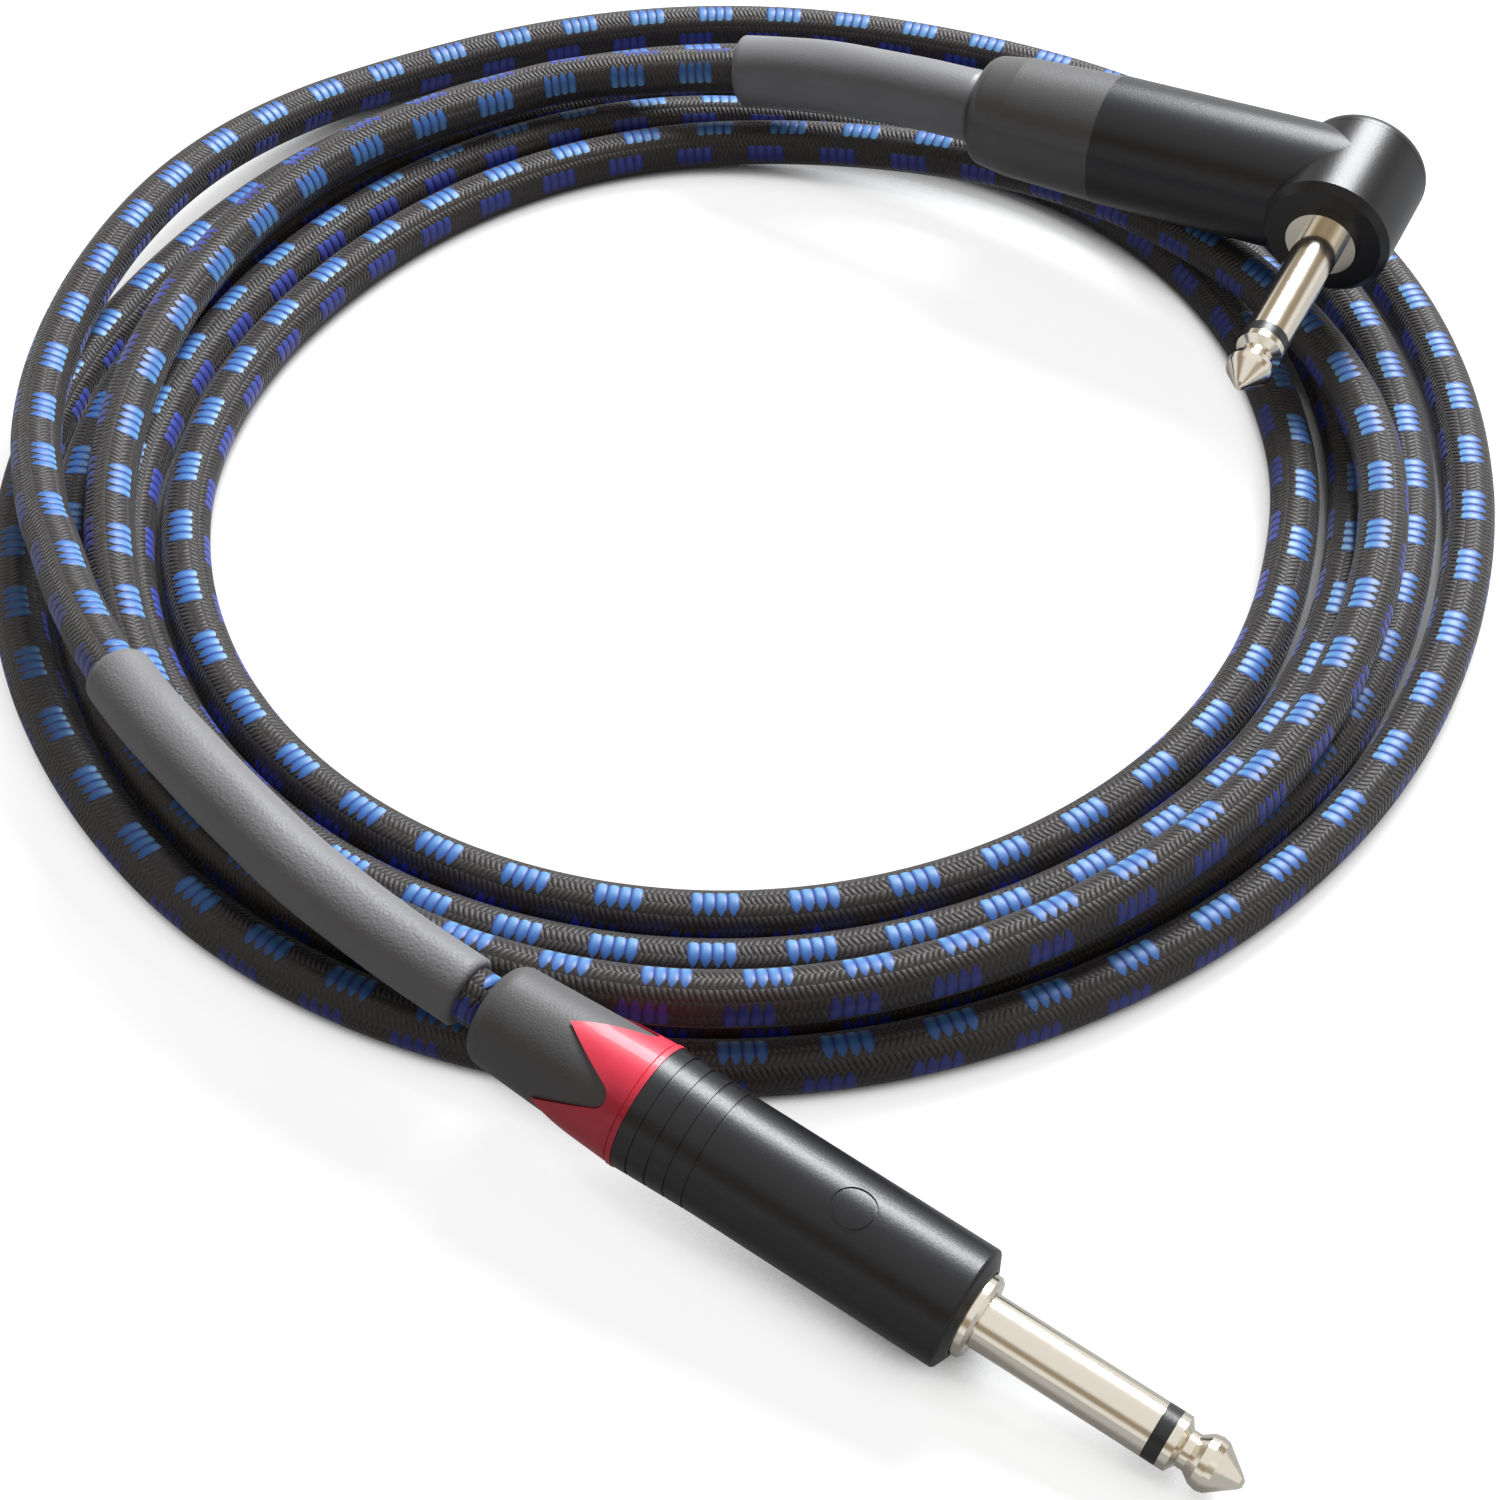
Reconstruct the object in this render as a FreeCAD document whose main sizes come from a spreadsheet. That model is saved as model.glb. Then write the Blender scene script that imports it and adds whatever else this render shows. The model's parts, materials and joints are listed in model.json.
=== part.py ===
import FreeCAD, Part
import math
import os
import Sketcher
from FreeCAD import Placement, Rotation, Vector

# Instrument cable: a braided cord about three metres long, wound into a loose flat coil,
# with a muting straight plug at one end and a right-angle plug at the other.
# Frame: millimetres, +Z up, origin on the table at the middle of the coil.

doc = FreeCAD.newDocument("InstrumentCable")

# Driving dimensions, in millimetres, degrees or counts
dimensions = [
    ("cableDiameter", 6.6), ("cableGap", 0.45), ("floorCut", 0.5),
    ("coilRadius", 75.3), ("laneSpread", 0.17),
    ("jackDiameter", 6.35), ("jackBore", 3.9), ("tipDiameter", 6.2), ("tipLength", 8.5),
    ("insulatorRing", 1.7), ("insulatorWall", 0.85), ("coreRodDiameter", 2.0),
    ("fitClearance", 0.05), ("looseClearance", 0.15), ("collarClearance", 0.1),
    ("bushingLength", 21.0), ("bushingRearRadius", 6.0), ("bushingFrontRadius", 7.05),
    ("bushingCoreRadius", 5.95), ("bushingRounding", 2.2), ("spigotRadius", 5.6), ("spigotLength", 4.0),
    ("crownLength", 12.0), ("crownProud", 0.3), ("crownValley", 2.8), ("crownGapRounding", 1.6),
    ("crownGapWidth", 10.4), ("crownTeeth", 4), ("crownLip", 0.7), ("crownLipGap", 0.2), ("crownLipProud", 0.1),
    ("shellLength", 40.0), ("shellRearRadius", 7.35), ("shellRadius", 7.05), ("shellTaper", 10.0),
    ("shellBoreRadius", 6.1), ("shellFrontWall", 3.0), ("noseLength", 0.8), ("noseRadius", 5.3),
    ("shellEdge", 0.5), ("grooveDepth", 0.15), ("grooveWidth", 0.35), ("groovePitch", 2.35),
    ("grooveStart", 1.8), ("grooveCount", 4), ("markPlace", 25.6), ("markRadius", 2.55), ("markWidth", 0.35),
    ("markDepth", 0.15), ("markAngle", 8.0),
    ("muteRingRadius", 4.75), ("muteReach", 2.0), ("muteFlangeRadius", 5.7),
    ("muteFlangeLength", 2.0), ("muteStop", 0.2), ("shaftNeckRadius", 2.9), ("magnetLength", 1.4),
    ("magnetRadius", 5.6), ("springWire", 0.5), ("springRadius", 4.3), ("springTurns", 5),
    ("seatLength", 2.0), ("seatRadius", 6.0), ("contactTailLength", 3.5), ("contactTailRadius", 3.0),
    ("shaftLength", 30.7),
    ("carrierLength", 6.4), ("carrierRadius", 5.95), ("pocketWidth", 5.4),
    ("boardThickness", 0.7), ("boardWidth", 4.8), ("boardLength", 5.4), ("boardHeight", 3.35),
    ("reedDiameter", 1.7), ("reedLength", 3.8), ("lugWidth", 2.4), ("lugThickness", 0.5),
    ("lugLength", 8.6), ("lugHeight", 4.4),
    ("chuckLength", 5.0), ("chuckRadius", 6.0), ("chuckSlot", 1.0), ("chuckSlots", 4),
    ("strippedLength", 1.8), ("coreInsulation", 3.0), ("coreWire", 0.9), ("coreWireLength", 2.0),
    ("solderEnd", 2.2), ("shieldTail", 1.0), ("shieldStart", 0.4),
    ("sleeveRadius", 4.25), ("sleeveClearance", 0.1),
    ("angleBushingLength", 20.0), ("angleBushingRearRadius", 7.7), ("angleHousingRadius", 9.2),
    ("angleBarrelLength", 35.4), ("angleBoreRadius", 7.0), ("boreShort", 5.4),
    ("headFront", 9.6), ("headRear", 5.6), ("headBoreRadius", 7.5), ("headWall", 2.0),
    ("headEdge", 1.0), ("headCapReach", 2.6), ("headCapSpigot", 1.5), ("headCapRounding", 2.2),
    ("collarRadius", 5.0), ("collarLength", 1.0),
    ("threadRadius", 3.9), ("nutWidth", 11.0), ("nutLength", 1.5), ("discRadius", 7.3),
    ("discThickness", 2.4), ("tagRadius", 6.6), ("tagThickness", 0.5), ("tagReach", 12.0),
    ("angleChuckRadius", 6.85), ("angleJacketEnd", 33.0), ("angleSpigotRadius", 6.8),
    ("angleCoreInsulationLength", 12.0), ("angleSleeveRadius", 5.2),
]
size = dict(dimensions)
sheet = doc.addObject("Spreadsheet::Sheet", "Sizes")
for row, (alias, value) in enumerate(dimensions, start=1):
    sheet.set("A" + str(row), alias)
    sheet.set("B" + str(row), str(value))
    sheet.setAlias("B" + str(row), alias)
doc.recompute()


# A size is written as words: aliases or numbers joined by + - * / with spaces
def worked(text):
    total = 0.0
    sign = 1.0
    term = None
    operation = "*"
    for word in text.split():
        if word in "+-" and term is not None:
            total += sign * term
            sign = 1.0 if word == "+" else -1.0
            term = None
        elif word in "*/":
            operation = word
        else:
            number = size[word] if word in size else float(word)
            if term is None:
                term = number
            elif operation == "*":
                term *= number
            else:
                term /= number
    return total + sign * term


def bound(text):
    return " ".join("Sizes." + word if word in size else word for word in text.split())


# Sizes that several pieces share
cable = "cableDiameter / 2"
jack = "jackDiameter / 2"
rod = "coreRodDiameter / 2"
tube = rod + " + fitClearance + insulatorWall"
cableBore = cable + " + fitClearance"
seam = "bushingLength"
crownRear = seam + " - crownLength"
# the bushing's radius where the crown's points begin, on its straight taper
taperRadius = "bushingFrontRadius + crownLength * bushingRearRadius / bushingLength"
taperRadius += " - crownLength * bushingFrontRadius / bushingLength"
face = seam + " + shellLength"
ringFront = face + " + muteReach"
flangeFront = face + " - shellFrontWall - muteStop"
flangeRear = flangeFront + " - muteFlangeLength"
magnetRear = flangeRear + " - magnetLength"
seatFront = face + " - 16.0"
seatRear = seatFront + " - seatLength"
tailRear = seatRear + " - contactTailLength"
carrierRear = seatRear + " - carrierLength"
shaftStart = ringFront + " + collarClearance"
tipEnd = ringFront + " + shaftLength"
tipStart = tipEnd + " - tipLength"
shaftEnd = tipStart + " - insulatorRing"
solderRear = carrierRear + " - solderEnd"
wireRear = solderRear + " - coreWireLength"
jacketEnd = wireRear + " - strippedLength"
chuckStart = seam + " + spigotLength + collarClearance"
headX = "angleBushingLength + angleBarrelLength"
collarFront = "headFront + collarLength"
angleTipEnd = collarFront + " + shaftLength"
angleTipStart = angleTipEnd + " - tipLength"
angleShaftEnd = angleTipStart + " - insulatorRing"
nutRear = "headFront - headWall - nutLength - collarClearance"
threadRear = nutRear + " - collarClearance"
angleChuckStart = "angleBushingLength + spigotLength + collarClearance"


def originFeature(body, role):
    for feature in body.Origin.OriginFeatures:
        if feature.Role == role:
            return feature
    return None


def boundLine(sketch, outline):
    # a closed outline of straight lines whose corners are bound to the sheet
    corners = [(worked(x), worked(y)) for x, y in outline]
    for index, corner in enumerate(corners):
        following = corners[(index + 1) % len(corners)]
        sketch.addGeometry(Part.LineSegment(Vector(corner[0], corner[1], 0), Vector(following[0], following[1], 0)))
    for index in range(len(corners)):
        sketch.addConstraint(Sketcher.Constraint("Coincident", index, 2, (index + 1) % len(corners), 1))
    for index, (x, y) in enumerate(outline):
        for kind, axis, text in (("DistanceX", -2, x), ("DistanceY", -1, y)):
            value = worked(text)
            if abs(value) < 1e-9:
                sketch.addConstraint(Sketcher.Constraint("PointOnObject", index, 1, axis))
            else:
                number = sketch.addConstraint(Sketcher.Constraint(kind, -1, 1, index, 1, value))
                sketch.setExpression("Constraints[" + str(number) + "]", bound(text))


def newSketch(body, name, role="XY_Plane"):
    sketch = body.newObject("Sketcher::SketchObject", name)
    sketch.AttachmentSupport = [(originFeature(body, role), "")]
    sketch.MapMode = "FlatFace"
    return sketch


def lathe(label, outline):
    # a turned piece about its own X axis
    body = doc.addObject("PartDesign::Body", label)
    body.Label = label
    sketch = newSketch(body, label + "Profile")
    boundLine(sketch, outline)
    turned = body.newObject("PartDesign::Revolution", label + "Turned")
    turned.Profile = sketch
    turned.ReferenceAxis = (sketch, ["H_Axis"])
    turned.Angle = 360
    sketch.Visibility = False
    doc.recompute()
    return body


def circleEdges(shape, x, radius):
    names = []
    for number, edge in enumerate(shape.Edges, start=1):
        curve = edge.Curve
        if curve.TypeId == "Part::GeomCircle" and abs(curve.Radius - radius) < 0.01:
            if abs(curve.Center.x - x) < 0.01:
                names.append("Edge" + str(number))
    return names


def roundRims(body, rims, radiusAlias):
    # rounds the circular rims given as (place along X, radius)
    names = []
    for x, radius in rims:
        names += circleEdges(body.Tip.Shape, worked(x), worked(radius))
    base = body.Tip
    rounding = body.newObject("PartDesign::Fillet", body.Name + "Rounded")
    rounding.Base = (base, names)
    rounding.Radius = size[radiusAlias]
    rounding.setExpression("Radius", bound(radiusAlias))
    doc.recompute()


def block(label, corner, lengths):
    piece = doc.addObject("Part::Box", label)
    piece.Label = label
    for name, text in zip(("Length", "Width", "Height"), lengths):
        piece.setExpression(name, bound(text))
    piece.Placement = Placement(Vector(*[worked(text) for text in corner]), Rotation())
    return piece


def cylinder(label, start, direction, radius, length):
    piece = doc.addObject("Part::Cylinder", label)
    piece.Label = label
    piece.setExpression("Radius", bound(radius))
    piece.setExpression("Height", bound(length))
    base = Vector(*[worked(text) for text in start])
    piece.Placement = Placement(base, Rotation(Vector(0, 0, 1), Vector(*direction)))
    return piece


def combined(kind, label, base, tool):
    piece = doc.addObject("Part::" + kind, label)
    piece.Label = label
    piece.Base = base
    piece.Tool = tool
    doc.recompute()
    return piece


# Where each plug lies: local X runs along the cable towards the plug
def axesPlacement(origin, along, across):
    along = Vector(along).normalize()
    across = Vector(across)
    across = (across - along * across.dot(along)).normalize()
    upward = along.cross(across)
    turn = FreeCAD.Matrix(along.x, across.x, upward.x, 0, along.y, across.y, upward.y, 0,
                          along.z, across.z, upward.z, 0, 0, 0, 0, 1)
    return Placement(origin, Rotation(turn))


# Azimuths are measured about +Z from +X. Each plug keeps its bearing from its own end of the coil
coilStart = 193.0
coilEnd = 124.0


def around(azimuth, outside, height):
    # a place by its azimuth, its distance outside the innermost loop and its height
    angle = math.radians(azimuth)
    distance = size["coilRadius"] + outside
    return Vector(distance * math.cos(angle), distance * math.sin(angle), height)


def heading(azimuth, rise):
    level = math.cos(math.radians(rise))
    angle = math.radians(azimuth)
    return Vector(level * math.cos(angle), level * math.sin(angle), math.sin(math.radians(rise)))


straightDirection = heading(coilStart + 135.0, -6.4)
straightOrigin = around(coilStart + 62.0, 26.3, 14.1)
straightPlace = axesPlacement(straightOrigin, straightDirection, heading(coilStart - 135.0, 0.0))
angleDirection = heading(coilEnd - 150.5, 4.1)
angleHead = around(coilEnd - 98.9, 15.3, 24.3)
angleRear = angleHead - angleDirection * worked(headX)
anglePlace = axesPlacement(angleRear, angleDirection, heading(coilEnd - 60.1, 4.9))
jackTurn = Placement(Vector(worked(headX), 0, 0), Rotation(Vector(1, 0, 0), Vector(0, -1, 0)))
jackPlace = anglePlace.multiply(jackTurn)

pieces = []


def keep(piece, place):
    piece.Placement = place.multiply(piece.Placement)
    pieces.append(piece)


# Plug contacts, shared by both plugs: rod and ball tip, insulating tube, shaft
def tipContact(label, rear, start, end):
    outline = [
        (rear, "0"), (rear, "coreRodDiameter * 0.65"), (rear + " + 2.5", "coreRodDiameter * 0.65"),
        (rear + " + 2.5", rod), (start, rod), (start, jack),
        (start + " + 1.0", jack), (start + " + 1.7", "tipDiameter * 0.34"),
        (start + " + 2.6", "tipDiameter * 0.34"), (start + " + 3.7", "tipDiameter * 0.47"),
        (start + " + 4.6", "tipDiameter / 2"), (start + " + 5.4", "tipDiameter * 0.47"),
        (end + " - 0.4", "tipDiameter * 0.13"), (end, "tipDiameter * 0.06"), (end, "0"),
    ]
    return lathe(label, outline)


def tipInsulator(label, rear, ringStart, ringEnd):
    bore = rod + " + fitClearance"
    outline = [
        (rear, bore), (rear, tube), (ringStart, tube), (ringStart, jack), (ringEnd, jack), (ringEnd, bore),
    ]
    return lathe(label, outline)


# Straight plug: contacts
keep(tipContact("straight_tip_contact", solderRear, tipStart, tipEnd), straightPlace)
keep(tipInsulator("straight_tip_insulator", carrierRear + " + 0.6", shaftEnd, tipStart), straightPlace)
sleeveContact = lathe("straight_sleeve_contact", [
    (tailRear, "jackBore / 2"), (tailRear, "contactTailRadius"), (seatRear, "contactTailRadius"),
    (seatRear, "seatRadius"), (seatFront, "seatRadius"), (seatFront, "shaftNeckRadius"),
    (shaftStart, "shaftNeckRadius"), (shaftStart, jack), (shaftEnd, jack), (shaftEnd, "jackBore / 2"),
])
keep(sleeveContact, straightPlace)

# Muting ring with its magnet and return spring
keep(lathe("muting_ring", [
    (flangeRear, "shaftNeckRadius + fitClearance"), (flangeRear, "muteFlangeRadius"),
    (flangeFront, "muteFlangeRadius"), (flangeFront, "muteRingRadius"),
    (ringFront + " - 0.4", "muteRingRadius"), (ringFront, "muteRingRadius - 0.4"),
    (ringFront, "shaftNeckRadius + fitClearance"),
]), straightPlace)
keep(lathe("muting_ring_magnet", [
    (magnetRear, "shaftNeckRadius + 2 * looseClearance"), (magnetRear, "magnetRadius"),
    (flangeRear, "magnetRadius"), (flangeRear, "shaftNeckRadius + 2 * looseClearance"),
]), straightPlace)


def returnSpring():
    # a round-wire compression spring between the seat and the magnet
    wire = size["springWire"] / 2
    start = worked(seatFront) + wire + size["looseClearance"]
    end = worked(magnetRear) - wire - size["looseClearance"]
    height = end - start
    helix = Part.makeLongHelix(height / size["springTurns"], height, size["springRadius"])
    helix.rotate(Vector(0, 0, 0), Vector(0, 1, 0), 90)
    helix.translate(Vector(start, 0, 0))
    first = helix.Edges[0].valueAt(helix.Edges[0].FirstParameter)
    tangent = helix.Edges[0].tangentAt(helix.Edges[0].FirstParameter)
    ring = Part.Wire([Part.makeCircle(wire, first, tangent)])
    shape = Part.Wire(helix.Edges).makePipeShell([ring], True, True)
    piece = doc.addObject("Part::Feature", "muting_ring_spring")
    piece.Label = "muting_ring_spring"
    piece.Shape = shape
    return piece


keep(returnSpring(), straightPlace)


# Contact carrier with its two pockets, switch board, reed switch and earth lug
def contactCarrier():
    turned = lathe("carrierBlank", [
        (carrierRear, tube + " + fitClearance"), (carrierRear, "carrierRadius"),
        (seatRear + " - fitClearance", "carrierRadius"),
        (seatRear + " - fitClearance", "contactTailRadius + fitClearance"),
        (tailRear + " - fitClearance", "contactTailRadius + fitClearance"),
        (tailRear + " - fitClearance", tube + " + fitClearance"),
    ])
    upper = block("switchPocket", (carrierRear + " + 0.5", "0 - pocketWidth / 2", "boardHeight - looseClearance"),
                  ("carrierLength", "pocketWidth", "carrierRadius"))
    lower = block("lugPocket", (carrierRear + " - 1.0", "0 - lugWidth / 2 - looseClearance",
                                "0 - lugHeight - lugThickness - 2.0"),
                  ("carrierLength + 2.0", "lugWidth + 2 * looseClearance", "lugThickness + 2.0 + looseClearance"))
    first = combined("Cut", "carrierUpperCut", turned, upper)
    return combined("Cut", "straight_contact_carrier", first, lower)


keep(contactCarrier(), straightPlace)
keep(block("switch_board", (carrierRear + " + 0.7", "0 - boardWidth / 2", "boardHeight"),
           ("boardLength", "boardWidth", "boardThickness")), straightPlace)


def reedSwitch():
    height = "boardHeight + boardThickness + reedDiameter / 2 + fitClearance"
    glass = cylinder("reedGlass", (carrierRear + " + 1.5", "0", height), (1, 0, 0), "reedDiameter / 2", "reedLength")
    leads = cylinder("reedLeads", (carrierRear + " + 1.0", "0", height), (1, 0, 0), "0.25", "reedLength + 1.0")
    return combined("Fuse", "reed_switch", glass, leads)


keep(reedSwitch(), straightPlace)
keep(block("straight_earth_lug", (seatRear + " - lugLength", "0 - lugWidth / 2", "0 - lugHeight - lugThickness"),
           ("lugLength", "lugWidth", "lugThickness")), straightPlace)


# Shell of the straight plug: tapered, bored, with a recess round the ring and fine grooves
def straightShell():
    hole = "muteRingRadius + looseClearance"
    body = lathe("shellTurned", [
        (seam, "shellBoreRadius"), (seam, "shellRearRadius"), (seam + " + shellTaper", "shellRadius"),
        (face, "shellRadius"), (face + " + noseLength", "noseRadius"), (face + " + noseLength", hole),
        (face + " - shellFrontWall", hole), (face + " - shellFrontWall", "shellBoreRadius"),
    ])
    roundRims(body, [(face, "shellRadius")], "shellEdge")
    rear = "shellRearRadius - grooveDepth - grooveStart * shellRearRadius / shellTaper"
    rear += " + grooveStart * shellRadius / shellTaper"
    for index in range(int(size["grooveCount"])):
        name = "shellGroove" + str(index + 1)
        step = str(index) + " * groovePitch"
        start = seam + " + grooveStart + " + step
        slope = rear + " - " + step + " * shellRearRadius / shellTaper + " + step + " * shellRadius / shellTaper"
        before = body.Tip.Shape.Volume
        sketch = newSketch(body, name + "Profile")
        boundLine(sketch, [
            (start, slope), (start + " + grooveWidth", slope),
            (start + " + grooveWidth", "shellRearRadius + 1.0"), (start, "shellRearRadius + 1.0"),
        ])
        groove = body.newObject("PartDesign::Groove", name)
        groove.Profile = sketch
        groove.ReferenceAxis = (sketch, ["H_Axis"])
        groove.Angle = 360
        sketch.Visibility = False
        doc.recompute()
        if groove.Shape.Volume >= before:
            print("groove cuts nothing", name)
    return body


def ringMark():
    # the round mark on the shell, left bare: a fine ring cut to an even depth
    foot = (seam + " + markPlace", "0", "0")
    outer = cylinder("markOuter", foot, (0, 0, 1), "markRadius", "shellRadius + 1.0")
    inner = cylinder("markInner", foot, (0, 0, 1), "markRadius - markWidth", "shellRadius + 1.0")
    core = cylinder("markCore", (seam, "0", "0"), (1, 0, 0), "shellRadius - markDepth", "shellLength")
    ring = combined("Cut", "markRing", combined("Cut", "markTube", outer, inner), core)
    ring.Placement = Placement(Vector(), Rotation(Vector(1, 0, 0), size["markAngle"]))
    return ring


keep(combined("Cut", "straight_plug_shell", straightShell(), ringMark()), straightPlace)


# Split chuck that grips the cable
def cableChuck(label, start, radius, length):
    body = lathe(label, [
        (start, cableBore), (start, radius), (start + " + " + length, radius + " - 0.6"),
        (start + " + " + length, cableBore),
    ])
    sketch = newSketch(body, label + "SlotProfile", "YZ_Plane")
    boundLine(sketch, [
        ("0 - chuckSlot / 2", "1.0"), ("chuckSlot / 2", "1.0"),
        ("chuckSlot / 2", radius + " + 1.0"), ("0 - chuckSlot / 2", radius + " + 1.0"),
    ])
    sketch.AttachmentOffset = Placement(Vector(0, 0, worked(start) + worked(length) * 0.35), Rotation())
    sketch.setExpression("AttachmentOffset.Base.z", bound(start + " + 0.35 * " + length))
    slot = body.newObject("PartDesign::Pocket", label + "Slot")
    slot.Profile = sketch
    slot.Type = "Length"
    slot.setExpression("Length", bound(length))
    slot.Reversed = True
    sketch.Visibility = False
    doc.recompute()
    pattern = body.newObject("PartDesign::PolarPattern", label + "Slots")
    pattern.Originals = [slot]
    pattern.Axis = (originFeature(body, "X_Axis"), [""])
    pattern.Angle = 360
    pattern.Occurrences = int(size["chuckSlots"])
    pattern.setExpression("Occurrences", bound("chuckSlots"))
    body.Tip = pattern
    doc.recompute()
    return body


keep(cableChuck("straight_cable_chuck", chuckStart, "chuckRadius", "chuckLength"), straightPlace)


# Crown and bushing: the crown's pointed teeth lie in the bushing, a little proud between its lobes
def gapCutter(label, shrink):
    # one rounded V-shaped prism; shrink draws its outline in for the bushing's lobe
    valley = worked(seam) - size["crownValley"] - shrink
    rounding = size["crownGapRounding"] - shrink
    reach = worked(seam) - size["crownLength"]
    half = size["crownGapWidth"] / 2 - shrink
    far = reach - 6.0
    widen = (half - rounding) / (valley - rounding - reach)
    farHalf = half + widen * (reach - far)
    centre = valley - rounding
    slope = math.atan(widen)
    touch = Vector(centre + rounding * math.sin(slope), rounding * math.cos(slope), 0)
    other = Vector(touch.x, -touch.y, 0)
    edges = [
        Part.LineSegment(Vector(far, farHalf, 0), touch).toShape(),
        Part.Arc(touch, Vector(valley, 0, 0), other).toShape(),
        Part.LineSegment(other, Vector(far, -farHalf, 0)).toShape(),
        Part.LineSegment(Vector(far, -farHalf, 0), Vector(far, farHalf, 0)).toShape(),
    ]
    prism = Part.Face(Part.Wire(edges)).extrude(Vector(0, 0, size["bushingFrontRadius"] * 2))
    turn = 360.0 / size["crownTeeth"]
    copies = []
    for index in range(int(size["crownTeeth"])):
        copy = prism.copy()
        copy.rotate(Vector(0, 0, 0), Vector(1, 0, 0), turn * (index + 0.5))
        copies.append(copy)
    feature = doc.addObject("Part::Feature", label)
    feature.Shape = copies[0].multiFuse(copies[1:])
    return feature


def crown():
    inner = "bushingCoreRadius + fitClearance"
    outer = "bushingFrontRadius + crownProud"
    lipRear = seam + " - crownLip"
    ring = lathe("crownRing", [
        (crownRear, inner), (crownRear, taperRadius + " + crownProud"), (lipRear + " - crownLipGap", outer),
        (lipRear + " - crownLipGap", outer + " - crownLipGap"), (lipRear, outer + " - crownLipGap"),
        (lipRear, outer + " + crownLipProud"), (seam + " - fitClearance", outer + " + crownLipProud"),
        (seam + " - fitClearance", inner),
    ])
    return combined("Cut", "straight_crown", ring, gapCutter("crownGaps", 0.0))


def bushing():
    core = lathe("bushingCore", [
        ("0", cableBore), ("0", "bushingRearRadius"),
        (crownRear, taperRadius), (crownRear, "bushingCoreRadius"),
        (seam + " - fitClearance", "bushingCoreRadius"), (seam + " - fitClearance", "spigotRadius"),
        (seam + " + spigotLength", "spigotRadius"), (seam + " + spigotLength", cableBore),
    ])
    roundRims(core, [("0", "bushingRearRadius")], "bushingRounding")
    layer = lathe("bushingLayer", [
        (crownRear, "bushingCoreRadius"), (crownRear, taperRadius),
        (seam + " - fitClearance", "bushingFrontRadius"), (seam + " - fitClearance", "bushingCoreRadius"),
    ])
    lobes = combined("Common", "bushingLobes", layer, gapCutter("bushingGaps", size["collarClearance"]))
    return combined("Fuse", "straight_bushing", core, lobes)


keep(crown(), straightPlace)
keep(bushing(), straightPlace)


# Stripped cable inside a plug: jacket end, core insulation, core wire and twisted shield
def slantedRod(label, start, end, radius):
    first = Vector(*[worked(text) for text in start])
    last = Vector(*[worked(text) for text in end])
    piece = doc.addObject("Part::Cylinder", label)
    piece.Label = label
    piece.setExpression("Radius", bound(radius))
    piece.Height = (last - first).Length
    piece.Placement = Placement(first, Rotation(Vector(0, 0, 1), last - first))
    return piece


keep(cylinder("straight_jacket_end", ("0", "0", "0"), (1, 0, 0), cable, jacketEnd), straightPlace)
keep(cylinder("straight_core_insulation", (jacketEnd, "0", "0"), (1, 0, 0), "coreInsulation / 2",
              "strippedLength"), straightPlace)
keep(cylinder("straight_core_wire", (wireRear, "0", "0"), (1, 0, 0), "coreWire / 2", "coreWireLength"),
     straightPlace)
keep(slantedRod("straight_shield_tail", (jacketEnd + " + shieldStart", "0", "0 - cableDiameter / 2 + 0.9"),
                (seatRear + " - lugLength - 0.3", "0", "0 - lugHeight - 0.1"), "shieldTail / 2"), straightPlace)


# Right-angle plug
def angleHousing():
    body = lathe("angle_housing", [
        ("angleBushingLength", "0"), ("angleBushingLength", "angleHousingRadius"),
        (headX, "angleHousingRadius"), (headX, "0"),
    ])
    edge = headX + " + angleHousingRadius"
    head = newSketch(body, "headProfile")
    boundLine(head, [
        (headX, "0 - headFront"), (edge + " - headEdge", "0 - headFront"), (edge, "0 - headFront + headEdge"),
        (edge, "headRear"), (headX, "headRear"),
    ])
    line = head.addGeometry(Part.LineSegment(Vector(worked(headX), -1, 0), Vector(worked(headX), 1, 0)), True)
    head.addConstraint(Sketcher.Constraint("Vertical", line))
    place = head.addConstraint(Sketcher.Constraint("DistanceX", -1, 1, line, 1, worked(headX)))
    head.setExpression("Constraints[" + str(place) + "]", bound(headX))
    turned = body.newObject("PartDesign::Revolution", "head")
    turned.Profile = head
    turned.ReferenceAxis = (head, ["Axis0"])
    turned.Angle = 360
    head.Visibility = False
    doc.recompute()
    seat = newSketch(body, "capSeatProfile", "XZ_Plane")
    seat.AttachmentOffset = Placement(Vector(0, 0, -size["headRear"]), Rotation())
    seat.setExpression("AttachmentOffset.Base.z", bound("0 - headRear"))
    circleBound(seat, headX, "angleHousingRadius + collarClearance")
    pocket = body.newObject("PartDesign::Pocket", "capSeat")
    pocket.Profile = seat
    pocket.setExpression("Length", bound("angleHousingRadius"))
    seat.Visibility = False
    before = turned.Shape.Volume
    doc.recompute()
    print("capSeat removed", round(before - pocket.Shape.Volume, 1))
    drillSideways(body, "headBore", "headBoreRadius", "headRear + 1.0", "headFront - headWall")
    drillSideways(body, "collarHole", "threadRadius + collarClearance", "1.0", "headFront + 1.0")
    before = body.Tip.Shape.Volume
    bore = newSketch(body, "barrelBoreProfile")
    boundLine(bore, [
        ("angleBushingLength - 1.0", "0"), ("angleBushingLength - 1.0", "angleBoreRadius"),
        (headX + " - boreShort", "angleBoreRadius"), (headX + " - boreShort", "0"),
    ])
    groove = body.newObject("PartDesign::Groove", "barrelBore")
    groove.Profile = bore
    groove.ReferenceAxis = (bore, ["H_Axis"])
    groove.Angle = 360
    bore.Visibility = False
    doc.recompute()
    print("barrel bore removed", round(before - groove.Shape.Volume, 1))
    return body


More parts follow.
